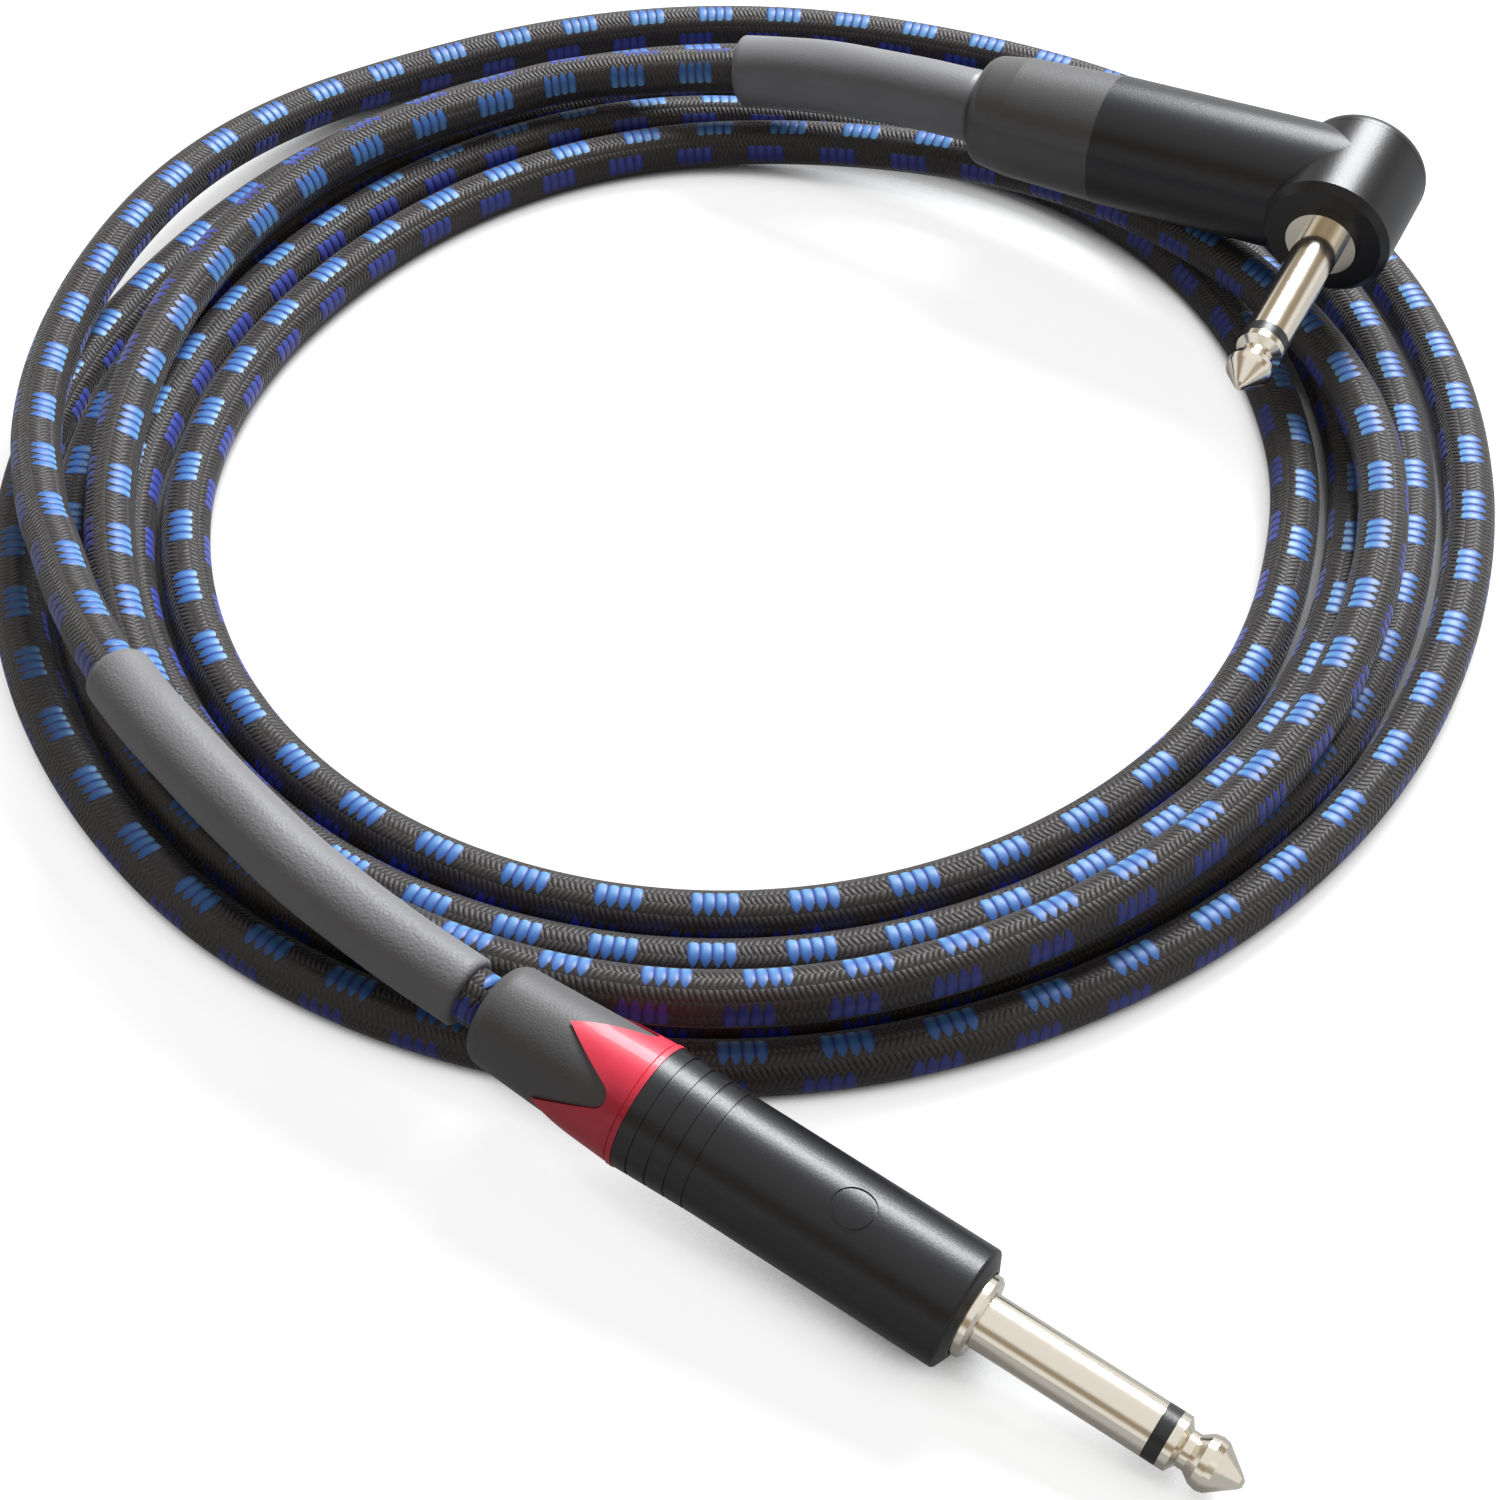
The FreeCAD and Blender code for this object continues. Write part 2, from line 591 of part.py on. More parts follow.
def drillSideways(body, name, radius, rearward, frontward):
    # a round hole across the barrel, along the jack's axis
    before = body.Tip.Shape.Volume
    sketch = newSketch(body, name + "Profile", "XZ_Plane")
    circleBound(sketch, headX, radius)
    pocket = body.newObject("PartDesign::Pocket", name)
    pocket.Profile = sketch
    pocket.SideType = "Two sides"
    pocket.setExpression("Length", bound(rearward))
    pocket.setExpression("Length2", bound(frontward))
    sketch.Visibility = False
    doc.recompute()
    print(name, "removed", round(before - pocket.Shape.Volume, 1))


def circleBound(sketch, centreX, radius):
    number = sketch.addGeometry(Part.Circle(Vector(worked(centreX), 0, 0), Vector(0, 0, 1), worked(radius)))
    sketch.addConstraint(Sketcher.Constraint("PointOnObject", number, 3, -1))
    place = sketch.addConstraint(Sketcher.Constraint("DistanceX", -1, 1, number, 3, worked(centreX)))
    sketch.setExpression("Constraints[" + str(place) + "]", bound(centreX))
    width = sketch.addConstraint(Sketcher.Constraint("Radius", number, worked(radius)))
    sketch.setExpression("Constraints[" + str(width) + "]", bound(radius))


keep(angleHousing(), anglePlace)


def headCap():
    # screwed cap with a rounded rim, seated in the head's bore
    seatPlace = "0 - headRear - fitClearance"
    top = "0 - headRear - headCapReach"
    body = lathe("angle_head_cap", [
        (top, "0"), (top, "angleHousingRadius"), (seatPlace, "angleHousingRadius"),
        (seatPlace, "headBoreRadius - collarClearance"),
        ("0 - headRear + headCapSpigot", "headBoreRadius - collarClearance"),
        ("0 - headRear + headCapSpigot", "0"),
    ])
    roundRims(body, [(top, "angleHousingRadius")], "headCapRounding")
    return body


keep(headCap(), jackPlace)
keep(tipContact("angle_tip_contact", "0 - 1.2", angleTipStart, angleTipEnd), jackPlace)
keep(tipInsulator("angle_tip_insulator", "2.2", angleShaftEnd, angleTipStart), jackPlace)
keep(lathe("angle_sleeve_contact", [
    (threadRear, "jackBore / 2"), (threadRear, "threadRadius"), ("headFront", "threadRadius"),
    ("headFront", "collarRadius"), (collarFront, "collarRadius"), (collarFront, jack),
    (angleShaftEnd, jack), (angleShaftEnd, "jackBore / 2"),
]), jackPlace)


def contactNut():
    prism = doc.addObject("Part::Prism", "nutPrism")
    prism.Polygon = 6
    prism.setExpression("Circumradius", bound("nutWidth / 1.732"))
    prism.setExpression("Height", bound("nutLength"))
    prism.Placement = Placement(Vector(worked(nutRear), 0, 0), Rotation(Vector(0, 0, 1), Vector(1, 0, 0)))
    hole = cylinder("nutHole", (nutRear + " - 1.0", "0", "0"), (1, 0, 0), "threadRadius + fitClearance",
                    "nutLength + 2.0")
    return combined("Cut", "angle_contact_nut", prism, hole)


keep(contactNut(), jackPlace)
keep(lathe("angle_contact_disc", [
    (threadRear + " - fitClearance - tagThickness - discThickness", tube + " + fitClearance"),
    (threadRear + " - fitClearance - tagThickness - discThickness", "discRadius"),
    (threadRear + " - fitClearance - tagThickness", "discRadius"),
    (threadRear + " - fitClearance - tagThickness", tube + " + fitClearance"),
]), jackPlace)


def earthTag():
    start = threadRear + " - fitClearance - tagThickness"
    ring = cylinder("tagRing", (start, "0", "0"), (1, 0, 0), "tagRadius", "tagThickness")
    tail = block("tagTail", (start, "0 - tagReach", "0 - lugWidth / 2"), ("tagThickness", "tagReach", "lugWidth"))
    blank = combined("Fuse", "tagBlank", ring, tail)
    hole = cylinder("tagHole", (start + " - 1.0", "0", "0"), (1, 0, 0), tube + " + looseClearance",
                    "tagThickness + 2.0")
    return combined("Cut", "angle_earth_tag", blank, hole)


keep(earthTag(), jackPlace)
keep(cableChuck("angle_cable_chuck", angleChuckStart, "angleChuckRadius", "chuckLength"), anglePlace)


def angleBushing():
    body = lathe("angle_bushing", [
        ("0", cableBore), ("0", "angleBushingRearRadius"), ("6.0", "angleBushingRearRadius + 0.9"),
        ("angleBushingLength - fitClearance", "angleHousingRadius - 0.1"),
        ("angleBushingLength - fitClearance", "angleSpigotRadius"),
        ("angleBushingLength + spigotLength", "angleSpigotRadius"),
        ("angleBushingLength + spigotLength", cableBore),
    ])
    roundRims(body, [("0", "angleBushingRearRadius")], "bushingRounding")
    return body


keep(angleBushing(), anglePlace)
coreStart = "angleJacketEnd + angleCoreInsulationLength"
keep(cylinder("angle_jacket_end", ("0", "0", "0"), (1, 0, 0), cable, "angleJacketEnd"), anglePlace)
keep(cylinder("angle_core_insulation", ("angleJacketEnd", "0", "0"), (1, 0, 0), "coreInsulation / 2",
              "angleCoreInsulationLength"), anglePlace)
keep(cylinder("angle_core_wire", (coreStart, "0", "0"), (1, 0, 0), "coreWire / 2",
              headX + " - coreRodDiameter * 0.65 - fitClearance - angleJacketEnd - angleCoreInsulationLength"),
     anglePlace)
keep(slantedRod("angle_shield_tail", ("angleJacketEnd + shieldStart", "0 - cableDiameter / 2 + 0.9", "0"),
                (headX + " - tagReach - 0.3", "0 - headFront + headWall + nutLength + 0.9", "0"), "shieldTail / 2"),
     anglePlace)


# The cord, wound clockwise seen from above
cordRadius = size["cableDiameter"] / 2
lanePitch = size["cableDiameter"] + size["cableGap"]
floorHeight = cordRadius - size["floorCut"]
fullTurns = 5
turnedTotal = 360.0 * fullTurns + coilStart - coilEnd


def eased(value, start, end):
    part = min(max((value - start) / (end - start), 0.0), 1.0)
    return part * part * (3 - 2 * part)


def easedOut(value, span):
    return 1 - math.sin(math.pi / 2 * min(max(value / span, 0.0), 1.0))


def innerRadius(azimuth):
    # the loops are slightly oval, as they fell
    angle = math.radians(azimuth)
    oval = -0.5 * math.cos(angle) - 0.6 * math.cos(2 * angle) + 1.9 * math.sin(2 * angle)
    return size["coilRadius"] + oval


def laneWidth(azimuth):
    looseness = (0.5 + 0.5 * math.cos(math.radians(azimuth - 95))) ** 1.5
    return lanePitch * (1 + size["laneSpread"] * looseness)


stepFrom = 60.0
stepTo = -20.0
startInset = 1.75
startSweep = 62.0
startRise = 3.2
fallFrom = 36.0
fallTo = 76.0
climbFrom = 110.0
climbTo = 42.0
topLanes = [(75, 0.0), (-8, 1.42), (-90, 2.31), (-172, 1.18), (-220, 1.70), (-253, 1.20)]


def coilPoint(turned):
    azimuth = coilStart - turned
    lastTurn = 360.0 * (fullTurns - 1) + coilStart
    stepped = stepFrom - azimuth
    turn = math.floor(stepped / 360.0)
    lane = 4 - turn - eased(stepped - 360.0 * turn, 0, stepFrom - stepTo)
    # the first quarter lies on top, moves out over its neighbour and comes down
    lane -= startInset * easedOut(turned, startSweep)
    height = floorHeight + lanePitch * (1 - eased(turned, fallFrom, fallTo)) + startRise * easedOut(turned, 25)
    # the last turn and a half climbs on top of the others
    height += lanePitch * eased(turned, lastTurn - climbFrom, lastTurn - climbTo)
    if turned > lastTurn - climbFrom:
        lane = topLanes[0][1]
        for before, after in zip(topLanes[:-1], topLanes[1:]):
            lane += (after[1] - before[1]) * eased(turned, lastTurn - before[0], lastTurn - after[0])
    radius = innerRadius(azimuth) + lane * laneWidth(azimuth)
    angle = math.radians(azimuth)
    return Vector(radius * math.cos(angle), radius * math.sin(angle), height)


def coilTangent(turned):
    step = 0.02
    turned = min(max(turned, step), turnedTotal - step)
    return (coilPoint(turned + step) - coilPoint(turned - step)).normalize()


def arcEdge(start, tangent, end):
    # an arc from start along tangent to end, or a line where it is straight
    chord = end - start
    length = chord.Length
    along = chord * (1 / length)
    bend = math.acos(min(max(along.dot(tangent), -1.0), 1.0))
    if bend < 1e-5:
        return Part.LineSegment(start, end).toShape()
    outward = (tangent - along * tangent.dot(along)).normalize()
    middle = start + chord * 0.5 + outward * (length / 2 * math.tan(bend / 2))
    return Part.Arc(start, middle, end).toShape()


def biarc(start, startTangent, end, endTangent):
    gap = end - start
    both = startTangent + endTangent
    a = both.dot(both) - 4
    b = -2 * gap.dot(both)
    c = gap.dot(gap)
    reach = (-b - math.sqrt(b * b - 4 * a * c)) / (2 * a)
    if reach < 0:
        reach = (-b + math.sqrt(b * b - 4 * a * c)) / (2 * a)
    first = start + startTangent * reach
    second = end - endTangent * reach
    joint = (first + second) * 0.5
    middle = (second - first).normalize()
    return [arcEdge(start, startTangent, joint), arcEdge(joint, middle, end)]


coilSteps = 60
coilStations = [turnedTotal * index / coilSteps for index in range(coilSteps + 1)]
firstTangent = coilTangent(0.0)
lastTangent = coilTangent(turnedTotal)
coilEnter = coilPoint(0.0) - firstTangent * size["cableDiameter"]
coilLeave = coilPoint(turnedTotal) + lastTangent * size["cableDiameter"]


def coilWire():
    edges = [Part.LineSegment(coilEnter, coilPoint(0.0)).toShape()]
    for before, after in zip(coilStations[:-1], coilStations[1:]):
        edges += biarc(coilPoint(before), coilTangent(before), coilPoint(after), coilTangent(after))
    edges.append(Part.LineSegment(coilPoint(turnedTotal), coilLeave).toShape())
    return Part.Wire(edges)


def leastGap(wire, spacing, skip):
    # the smallest clear distance between stretches of the tube that are not neighbours
    points = wire.discretize(Distance=spacing)
    cell = lanePitch * 1.5
    grid = {}
    for index, point in enumerate(points):
        key = (int(point.x // cell), int(point.y // cell))
        grid.setdefault(key, []).append(index)
    least = 1e9
    reach = int(skip / spacing)
    for index, point in enumerate(points):
        column = int(point.x // cell)
        line = int(point.y // cell)
        for near in [(column + i, line + j) for i in (-1, 0, 1) for j in (-1, 0, 1)]:
            for other in grid.get(near, []):
                if other > index + reach:
                    least = min(least, (points[other] - point).Length)
    return least - size["cableDiameter"]


def pipe(wire, radius):
    edge = wire.OrderedEdges[0]
    start = edge.valueAt(edge.FirstParameter)
    tangent = edge.tangentAt(edge.FirstParameter)
    ring = Part.Wire([Part.makeCircle(radius, start, tangent)])
    return wire.makePipeShell([ring], True, False)


def roundedRoute(points, radii=None):
    # straight runs joined by tangent arcs; each arc takes 0.45 of its shorter run
    edges = []
    used = []
    last = points[0]
    for index in range(1, len(points) - 1):
        back = points[index - 1] - points[index]
        ahead = points[index + 1] - points[index]
        turn = math.pi - back.getAngle(ahead)
        reach = 0.45 * min(back.Length, ahead.Length)
        if radii:
            reach = radii[index - 1] * math.tan(turn / 2)
        radius = reach / math.tan(turn / 2)
        used.append(radius)
        start = points[index] + back.normalize() * reach
        end = points[index] + ahead.normalize() * reach
        inward = (back + ahead).normalize()
        middle = points[index] + inward * (radius / math.cos(turn / 2) - radius)
        edges.append(Part.LineSegment(last, start).toShape())
        edges.append(Part.Arc(start, middle, end).toShape())
        last = end
    edges.append(Part.LineSegment(last, points[-1]).toShape())
    return Part.Wire(edges), used


def cordFeature(label, shape):
    piece = doc.addObject("Part::Feature", label)
    piece.Label = label
    piece.Shape = shape
    pieces.append(piece)
    return piece


coil = coilWire()
print("coil length", round(coil.Length), "least gap", round(leastGap(coil, cordRadius / 3, cordRadius * 12), 3))
coilTube = pipe(coil, cordRadius)
print("coil volume ratio", round(coilTube.Volume / (math.pi * cordRadius ** 2 * coil.Length), 4))
reach = size["coilRadius"] * 2
under = Part.makeBox(reach * 2, reach * 2, cordRadius, Vector(-reach, -reach, -cordRadius))
cordFeature("cable_coil", coilTube.cut(under).removeSplitter())

# Free stretches, from the coil to each plug: points chosen as the cord lies
straightRoute = [
    coilEnter, coilEnter - firstTangent * 12, around(coilStart + 23.1, 17.4, 18.1),
    around(coilStart + 36.4, 19.0, 19.0), straightOrigin - straightDirection * 20, straightOrigin,
]
angleRoute = [
    coilLeave, coilLeave + lastTangent * 13.5, around(coilEnd - 23.8, 9.3, 11.4), around(coilEnd - 34.4, 3.8, 15.0),
    angleRear - angleDirection * 18, angleRear,
]


def stretch(label, points):
    wire, radii = roundedRoute(points)
    tubeShape = pipe(wire, cordRadius)
    ratio = tubeShape.Volume / (math.pi * cordRadius ** 2 * wire.Length)
    print(label, "length", round(wire.Length, 1), "radii", [round(r, 1) for r in radii], "volume ratio", round(ratio, 4))
    cordFeature(label, tubeShape)
    return radii


straightRadii = stretch("straight_plug_lead", straightRoute)
angleRadii = stretch("angle_plug_lead", angleRoute)


# Shrink sleeves that hug the two leads
def shrinkSleeve(label, points, radii, outer):
    wire, used = roundedRoute(points, radii)
    skin = pipe(wire, outer)
    hollow = pipe(wire, cordRadius + size["sleeveClearance"])
    cordFeature(label, skin.cut(hollow))


def between(first, second, part):
    return first + (second - first) * part


shrinkSleeve("straight_label_sleeve",
             [between(straightRoute[1], straightRoute[2], 0.52), straightRoute[2], straightRoute[3],
              straightRoute[4], straightOrigin - straightDirection * 3],
             straightRadii[1:], size["sleeveRadius"])
shrinkSleeve("angle_label_sleeve",
             [between(angleRoute[2], angleRoute[3], 0.5), angleRoute[3], angleRoute[4],
              angleRear - angleDirection * 0.3],
             angleRadii[2:], size["angleSleeveRadius"])

doc.recompute()
broken = [item.Name for item in doc.Objects if "Invalid" in item.State or "Error" in item.State]
for piece in pieces:
    if piece.Shape.isNull() or not piece.Shape.isValid():
        broken.append(piece.Label)
if broken:
    raise SystemExit("not written, because these failed: " + ", ".join(broken))

os.makedirs("parts", exist_ok=True)
for piece in pieces:
    piece.Shape.exportStep("parts/" + piece.Label + ".step")
print(len(pieces), "pieces written")
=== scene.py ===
import bpy
import bmesh
import json
from bisect import bisect_right
from math import atan2, cos, degrees, floor, pi, radians, sin
from mathutils import Matrix, Vector


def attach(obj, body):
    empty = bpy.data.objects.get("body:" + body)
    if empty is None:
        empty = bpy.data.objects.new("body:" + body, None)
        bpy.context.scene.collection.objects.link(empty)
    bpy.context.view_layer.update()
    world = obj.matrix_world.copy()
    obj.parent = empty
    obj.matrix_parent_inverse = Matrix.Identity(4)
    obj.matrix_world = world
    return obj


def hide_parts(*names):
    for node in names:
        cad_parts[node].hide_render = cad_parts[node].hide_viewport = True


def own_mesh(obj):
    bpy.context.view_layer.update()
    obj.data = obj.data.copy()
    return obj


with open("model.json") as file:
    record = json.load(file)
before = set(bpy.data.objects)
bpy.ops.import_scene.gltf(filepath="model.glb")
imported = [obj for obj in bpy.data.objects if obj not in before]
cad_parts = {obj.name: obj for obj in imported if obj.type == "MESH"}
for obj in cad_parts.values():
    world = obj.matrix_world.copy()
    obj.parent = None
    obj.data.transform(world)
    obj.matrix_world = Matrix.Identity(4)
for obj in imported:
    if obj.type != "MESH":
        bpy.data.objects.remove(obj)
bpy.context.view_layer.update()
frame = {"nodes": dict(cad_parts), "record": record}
nodes = frame["nodes"]
mm = 0.001
print("frame loaded")

# Camera: the photograph looks down on the coil from the front; millimetres and degrees, the clipping in metres
camera = {
    "place": (1.14, -285.85, 263.66), "target": (1.14, -46.2, 0.0), "roll": 1.54,
    "lens": 68.2, "sensor": 36, "clip": (0.01, 20),
}


def addCamera():
    place = Vector(camera["place"]) * mm
    forward = (Vector(camera["target"]) * mm - place).normalized()
    right = forward.cross(Vector((0, 0, 1))).normalized()
    up = right.cross(forward)
    roll = radians(camera["roll"])
    tiltedRight = right * cos(roll) + up * sin(roll)
    tiltedUp = up * cos(roll) - right * sin(roll)
    turn = Matrix((tiltedRight, tiltedUp, -forward)).transposed()
    bpy.ops.object.camera_add(location=place, rotation=turn.to_euler())
    eye = bpy.context.object
    eye.name = "photoCamera"
    eye.data.sensor_width = camera["sensor"]
    eye.data.lens = camera["lens"]
    eye.data.clip_start, eye.data.clip_end = camera["clip"]
    bpy.context.scene.camera = eye


addCamera()
bpy.context.scene.view_settings.view_transform = "Standard"

# The cord, from the straight plug round the coil to the right-angle plug, as in the part's source: millimetres and
# degrees, the length in metres; a lane is a loop's place across the coil, from 0 for the innermost one
cable = {
    "diameter": 6.6, "gap": 0.45, "floorCut": 0.5, "coilRadius": 75.3, "laneSpread": 0.17,
    "looseSide": 95, "loosePower": 1.5,  # the loops spread apart round this azimuth
    "start": 193.0, "end": 124.0, "turns": 5, "outerLane": 4, "stepFrom": 60.0, "stepTo": -20.0,
    "startInset": 1.75, "startSweep": 73, "startRise": 3.2, "riseSpan": 25, "fallFrom": 36, "fallTo": 76,
    "climbFrom": 110, "climbTo": 42, "ovalAcross": 0.5, "ovalLong": 0.6, "ovalSlant": 1.9,
    "topLanes": [(75, 0.0), (-8, 1.5), (-90, 2.4), (-172, 1.18), (-220, 1.70), (-253, 1.20)],
    "pointsPerTurn": 30, "length": 3.087,
    # how the loops settled, by azimuth: shift of the innermost loop and of the outermost one
    "settled": [
        (-180, -0.2, -0.8), (-150, -0.5, -0.8), (-120, -0.5, 0.8), (-90, -0.3, 0.4), (-60, -0.4, -1.0),
        (-30, -0.4, -0.7), (0, -1.4, 0.5), (20, -2.9, 1.1), (45, -3.5, 0.6), (70, -2.8, -1.5),
        (84, -1.0, -0.4), (100, 1.2, 0.6), (115, 1.4, 0.9), (132, 0.0, 0.7), (145, -0.6, -0.9),
        (157, -0.5, -2.0), (168, -0.5, -1.4), (180, -0.2, -0.8),
    ],
    # how far in each loop lies where the one above it comes down, and between which angles of the loop
    "tuck": [0, 2.9, 1.3, 0, 0, 0], "tuckFrom": (15, 70), "tuckTo": (85, 140),
    # free stretches: straight run beside the coil, then points by azimuth from the coil's end, distance outside
    # the innermost loop and height
    "enterRun": 12, "enterPoints": [(36.4, 18.0, 19.0), (23.1, 16.6, 18.1)],
    "leaveRun": 13.5, "leavePoints": [(-23.8, 9.3, 11.4), (-34.4, 3.8, 15.0)],
    "resolution": 8, "ringStep": 0.0019, "sides": 32, "samples": 1200,
}


def around(azimuth, outside, height):
    # a place by its azimuth, its distance outside the innermost loop and its height
    reach = cable["coilRadius"] + outside
    return Vector((reach * cos(radians(azimuth)), reach * sin(radians(azimuth)), height))


def heading(azimuth, rise):
    level = cos(radians(rise))
    return Vector((level * cos(radians(azimuth)), level * sin(radians(azimuth)), sin(radians(rise))))


# where the cord enters each plug, which way the plug points, and how far the cord runs straight behind it
plugs = {
    "straightPlace": around(cable["start"] + 62, 26.3, 14.1),
    "straightAlong": heading(cable["start"] + 135, -6.4), "straightRun": 20,
    "angleHead": around(cable["end"] - 98.9, 15.3, 24.3),
    "angleAlong": heading(cable["end"] - 150.5, 4.1), "angleLength": 55.4, "angleRun": 18,
}
plugs["anglePlace"] = plugs["angleHead"] - plugs["angleAlong"] * plugs["angleLength"]
lanePitch = cable["diameter"] + cable["gap"]
floorHeight = cable["diameter"] / 2 - cable["floorCut"]
turnedTotal = 360 * cable["turns"] + cable["start"] - cable["end"]


def eased(value, start, end):
    part = min(max((value - start) / (end - start), 0), 1)
    return part * part * (3 - 2 * part)


def easedOut(value, span):
    return 1 - sin(pi / 2 * min(max(value / span, 0), 1))


def settledShift(azimuth, lane):
    azimuth = (azimuth + 180) % 360 - 180
    part = min(max(lane / cable["outerLane"], 0), 1)
    for before, after in zip(cable["settled"][:-1], cable["settled"][1:]):
        if before[0] <= azimuth <= after[0]:
            along = eased(azimuth, before[0], after[0])
            inner = before[1] + (after[1] - before[1]) * along
            outer = before[2] + (after[2] - before[2]) * along
            return inner + (outer - inner) * part
    return 0


def coilPoint(turned):
    azimuth = cable["start"] - turned
    angle = radians(azimuth)
    lastTurn = 360 * (cable["turns"] - 1) + cable["start"]
    stepped = cable["stepFrom"] - azimuth
    turn = floor(stepped / 360)
    lane = cable["outerLane"] - turn - eased(stepped - 360 * turn, 0, cable["stepFrom"] - cable["stepTo"])
    lane -= cable["startInset"] * easedOut(turned, cable["startSweep"])
    height = floorHeight + lanePitch * (1 - eased(turned, cable["fallFrom"], cable["fallTo"]))
    height += cable["startRise"] * easedOut(turned, cable["riseSpan"])
    height += lanePitch * eased(turned, lastTurn - cable["climbFrom"], lastTurn - cable["climbTo"])
    if turned > lastTurn - cable["climbFrom"]:
        top = cable["topLanes"]
        lane = top[0][1]
        for before, after in zip(top[:-1], top[1:]):
            lane += (after[1] - before[1]) * eased(turned, lastTurn - before[0], lastTurn - after[0])
    loose = (0.5 + 0.5 * cos(radians(azimuth - cable["looseSide"]))) ** cable["loosePower"]
    radius = cable["coilRadius"] - cable["ovalAcross"] * cos(angle)
    radius += cable["ovalSlant"] * sin(2 * angle) - cable["ovalLong"] * cos(2 * angle)
    radius += lane * lanePitch * (1 + cable["laneSpread"] * loose) + settledShift(azimuth, lane)
    since = turned % 360
    tucked = eased(since, *cable["tuckFrom"]) * (1 - eased(since, *cable["tuckTo"]))
    radius -= cable["tuck"][int(turned // 360)] * tucked
    return Vector((radius * cos(angle), radius * sin(angle), height))


def coilTangent(turned):
    step = 0.02
    turned = min(max(turned, step), turnedTotal - step)
    return (coilPoint(turned + step) - coilPoint(turned - step)).normalized()


def cordRoute():
    # free stretch, coil, free stretch: control points in millimetres
    enter = coilPoint(0) - coilTangent(0) * cable["diameter"]
    leave = coilPoint(turnedTotal) + coilTangent(turnedTotal) * cable["diameter"]
    route = [plugs["straightPlace"], plugs["straightPlace"] - plugs["straightAlong"] * plugs["straightRun"]]
    route += [around(cable["start"] + turned, outside, height) for turned, outside, height in cable["enterPoints"]]
    route += [enter - coilTangent(0) * cable["enterRun"], enter]
    steps = round(cable["pointsPerTurn"] * turnedTotal / 360)
    outset = 1 / cos(radians(turnedTotal / steps / 2))
    for index in range(steps + 1):
        point = coilPoint(turnedTotal * index / steps)
        route.append(Vector((point.x * outset, point.y * outset, point.z)))
    route += [leave, leave + coilTangent(turnedTotal) * cable["leaveRun"]]
    route += [around(cable["end"] + turned, outside, height) for turned, outside, height in cable["leavePoints"]]
    route += [plugs["anglePlace"] - plugs["angleAlong"] * plugs["angleRun"], plugs["anglePlace"]]
    return route


def splinePath(route):
    curve = bpy.data.curves.new("cordLine", "CURVE")
    curve.dimensions = "3D"
    spline = curve.splines.new("NURBS")
    spline.points.add(len(route) - 1)
    for place, point in zip(spline.points, route):
        place.co = (point.x * mm, point.y * mm, point.z * mm, 1)
    spline.order_u = 3
    spline.use_endpoint_u = True
    spline.resolution_u = cable["resolution"]
    line = bpy.data.objects.new("cordLine", curve)
    bpy.context.scene.collection.objects.link(line)
    bpy.context.view_layer.update()
    mesh = bpy.data.meshes.new_from_object(line)
    path = [vertex.co.copy() for vertex in mesh.vertices]
    bpy.data.objects.remove(line)
    bpy.data.meshes.remove(mesh)
    return path


class Path:
    # a line of points that is read by the distance along it, in metres
    closest = 1e-6
    reach = 0.0015

    def __init__(self, points):
        self.points = [points[0]]
        self.reached = [0]
        for point in points[1:]:
            step = (point - self.points[-1]).length
            if step > self.closest:
                self.points.append(point)
                self.reached.append(self.reached[-1] + step)
        self.length = self.reached[-1]

    def at(self, distance):
        distance = min(max(distance, 0), self.length)
        index = min(max(bisect_right(self.reached, distance) - 1, 0), len(self.points) - 2)
        part = (distance - self.reached[index]) / (self.reached[index + 1] - self.reached[index])
        return self.points[index].lerp(self.points[index + 1], part)

    def frameAt(self, distance):
        along = (self.at(distance + self.reach) - self.at(distance - self.reach)).normalized()
        outward = Vector((0, 0, 1)).cross(along).normalized()
        return self.at(distance), along, outward, along.cross(outward)


def rowStarts(path, rings):
    # the angle of the first row of tracers at each ring, and how far its patches have slipped along;
    # the jacket twists slowly as it goes round
    starts = []
    twist = braid["twist"]
    last = turned = 0
    for distance, radius in rings:
        place = path.at(distance)
        azimuth = degrees(atan2(place.y, place.x))
        since = last if starts else cable["start"]
        turned += (since - azimuth + 180) % 360 - 180
        last = azimuth
        angle, slip = twist[0][1:]
        for before, after in zip(twist[:-1], twist[1:]):
            part = eased(turned, before[0], after[0])
            angle += (after[1] - before[1]) * part
            slip += (after[2] - before[2]) * part
        starts.append((radians(angle), slip * mm))
    return starts


